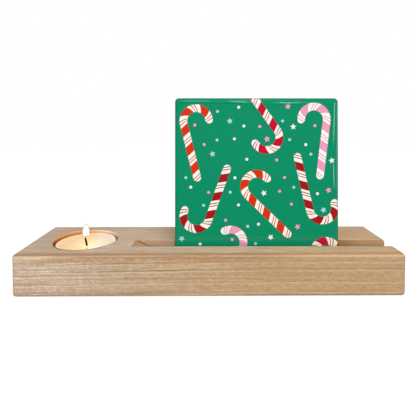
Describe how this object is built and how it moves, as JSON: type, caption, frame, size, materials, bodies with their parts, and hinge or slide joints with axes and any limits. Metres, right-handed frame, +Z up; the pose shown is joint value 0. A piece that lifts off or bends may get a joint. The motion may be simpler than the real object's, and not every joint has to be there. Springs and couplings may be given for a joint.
{
  "type": "wooden tealight holder with a ceramic tile",
  "caption": "Light wood block that holds a lit tealight in a round recess and a square glazed tile standing in a groove, printed with candy canes.",
  "frame": {"origin": "middle of the wooden block's underside", "axes": "+X along the block, away from the tealight; +Y towards the back, away from the tile's glazed face; +Z up"},
  "size_m": [0.22, 0.055, 0.1124],
  "materials": {
    "wood": "satin",
    "glazed_tile": "gloss",
    "cup_metal": "satin",
    "candle_wax": "satin",
    "candle_wick": "matte"
  },
  "bodies": {
    "root": {"wood_block": "wood", "ceramic_tile": "glazed_tile", "tealight_cup": "cup_metal", "wax": "candle_wax", "wick": "candle_wick"}
  },
  "joints": []
}
